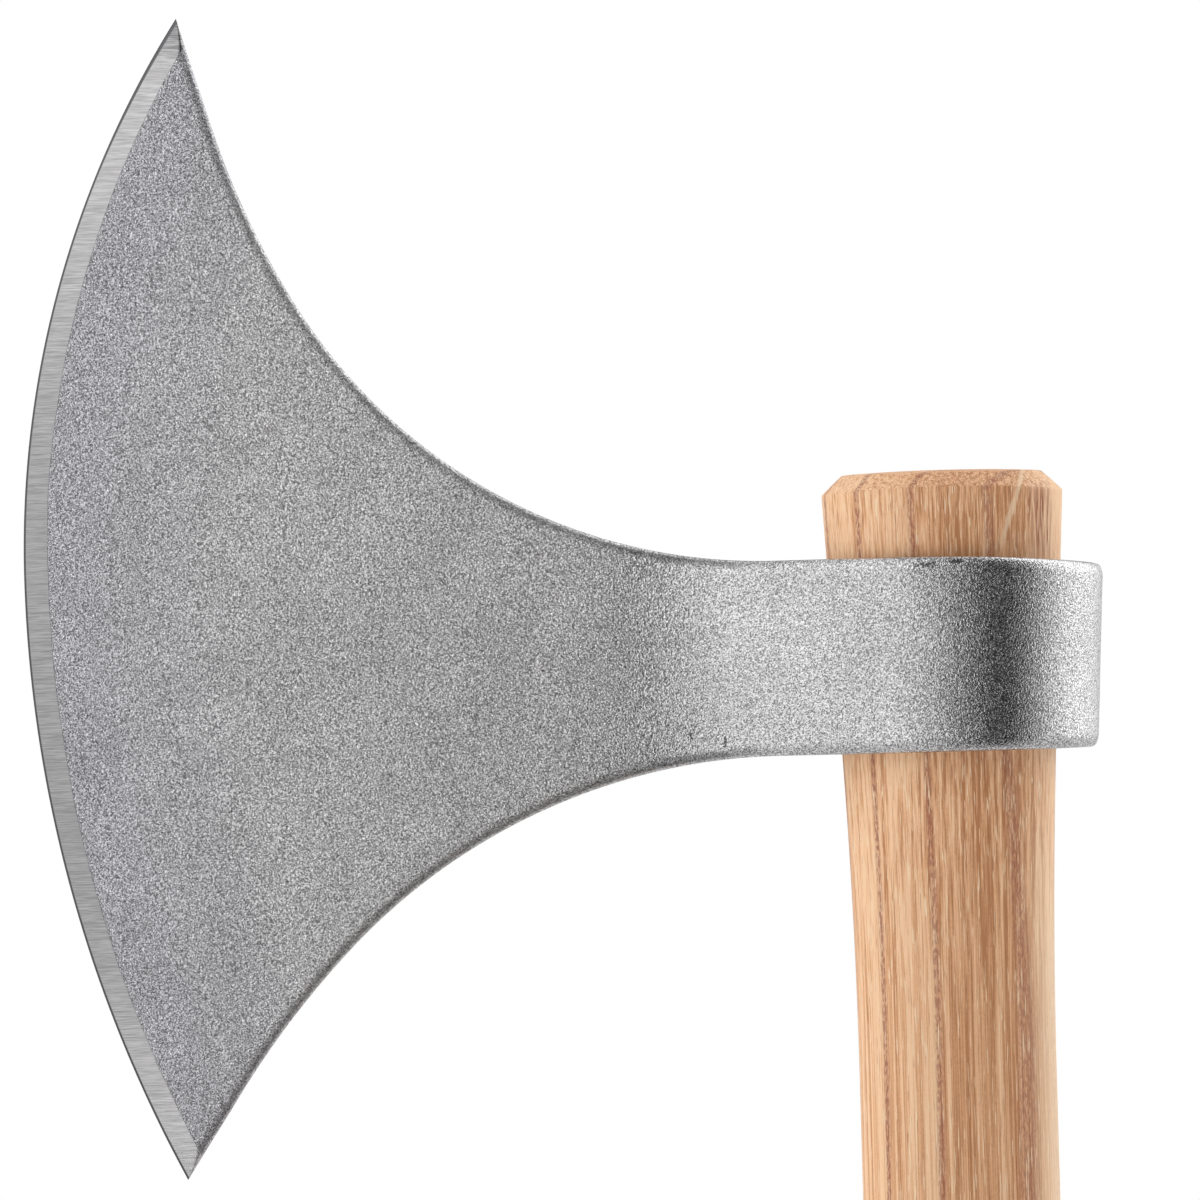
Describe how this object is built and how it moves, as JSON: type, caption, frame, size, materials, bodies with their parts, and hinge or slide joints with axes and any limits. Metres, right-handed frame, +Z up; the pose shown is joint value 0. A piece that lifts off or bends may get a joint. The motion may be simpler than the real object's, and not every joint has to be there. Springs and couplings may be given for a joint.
{
  "type": "broad axe",
  "caption": "One-hand axe with a broad crescent blade, a tapered oval eye and a straight hickory haft that goes in from the top.",
  "frame": {"origin": "middle of the haft's butt face", "axes": "+Z up the haft towards the head, cutting edge to -X, poll to +X, +Y through the cheeks"},
  "size_m": [0.1532, 0.0322, 0.5757],
  "materials": {
    "forged_steel": "shot-blasted forging with a fine pebbled grain, ground bright along the edge",
    "hickory": "sanded and lightly oiled"
  },
  "bodies": {
    "haft": {"haft": "hickory"},
    "head": {"axe_head": "forged_steel"}
  },
  "joints": [
    {"name": "head_slide", "type": "slide", "parent": "haft", "child": "head", "axis": [0, 0, -1], "range_m": [0, 0.5]}
  ]
}
